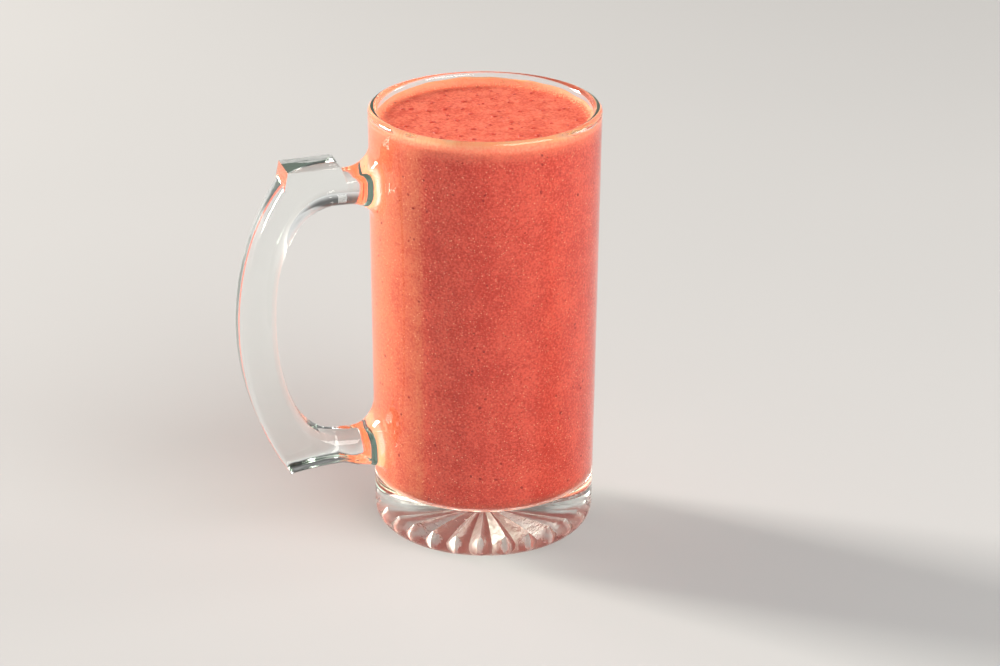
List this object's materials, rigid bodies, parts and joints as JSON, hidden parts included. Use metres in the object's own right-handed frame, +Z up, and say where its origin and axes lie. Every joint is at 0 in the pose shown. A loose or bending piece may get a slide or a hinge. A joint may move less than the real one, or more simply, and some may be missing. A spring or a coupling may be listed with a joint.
{
  "type": "strawberry lemonade in a glass mug",
  "caption": "Tall straight clear glass mug with a bowed handle, thumb rest and starred heavy base, filled nearly to the brim with thick blended strawberry lemonade.",
  "frame": {"origin": "under the middle of the object's box, on the surface that the mug stands on", "axes": "+Z up along the mug's axis, the handle towards -X, +Y across the handle's plane"},
  "size_m": [0.1455, 0.0914, 0.176],
  "materials": {
    "clear_glass": "clear pressed glass, polished",
    "strawberry_lemonade": "opaque wet fruit drink, coral pink with dark red pulp"
  },
  "bodies": {
    "root": {"glass_mug": "clear_glass", "lemonade": "strawberry_lemonade"}
  },
  "joints": []
}
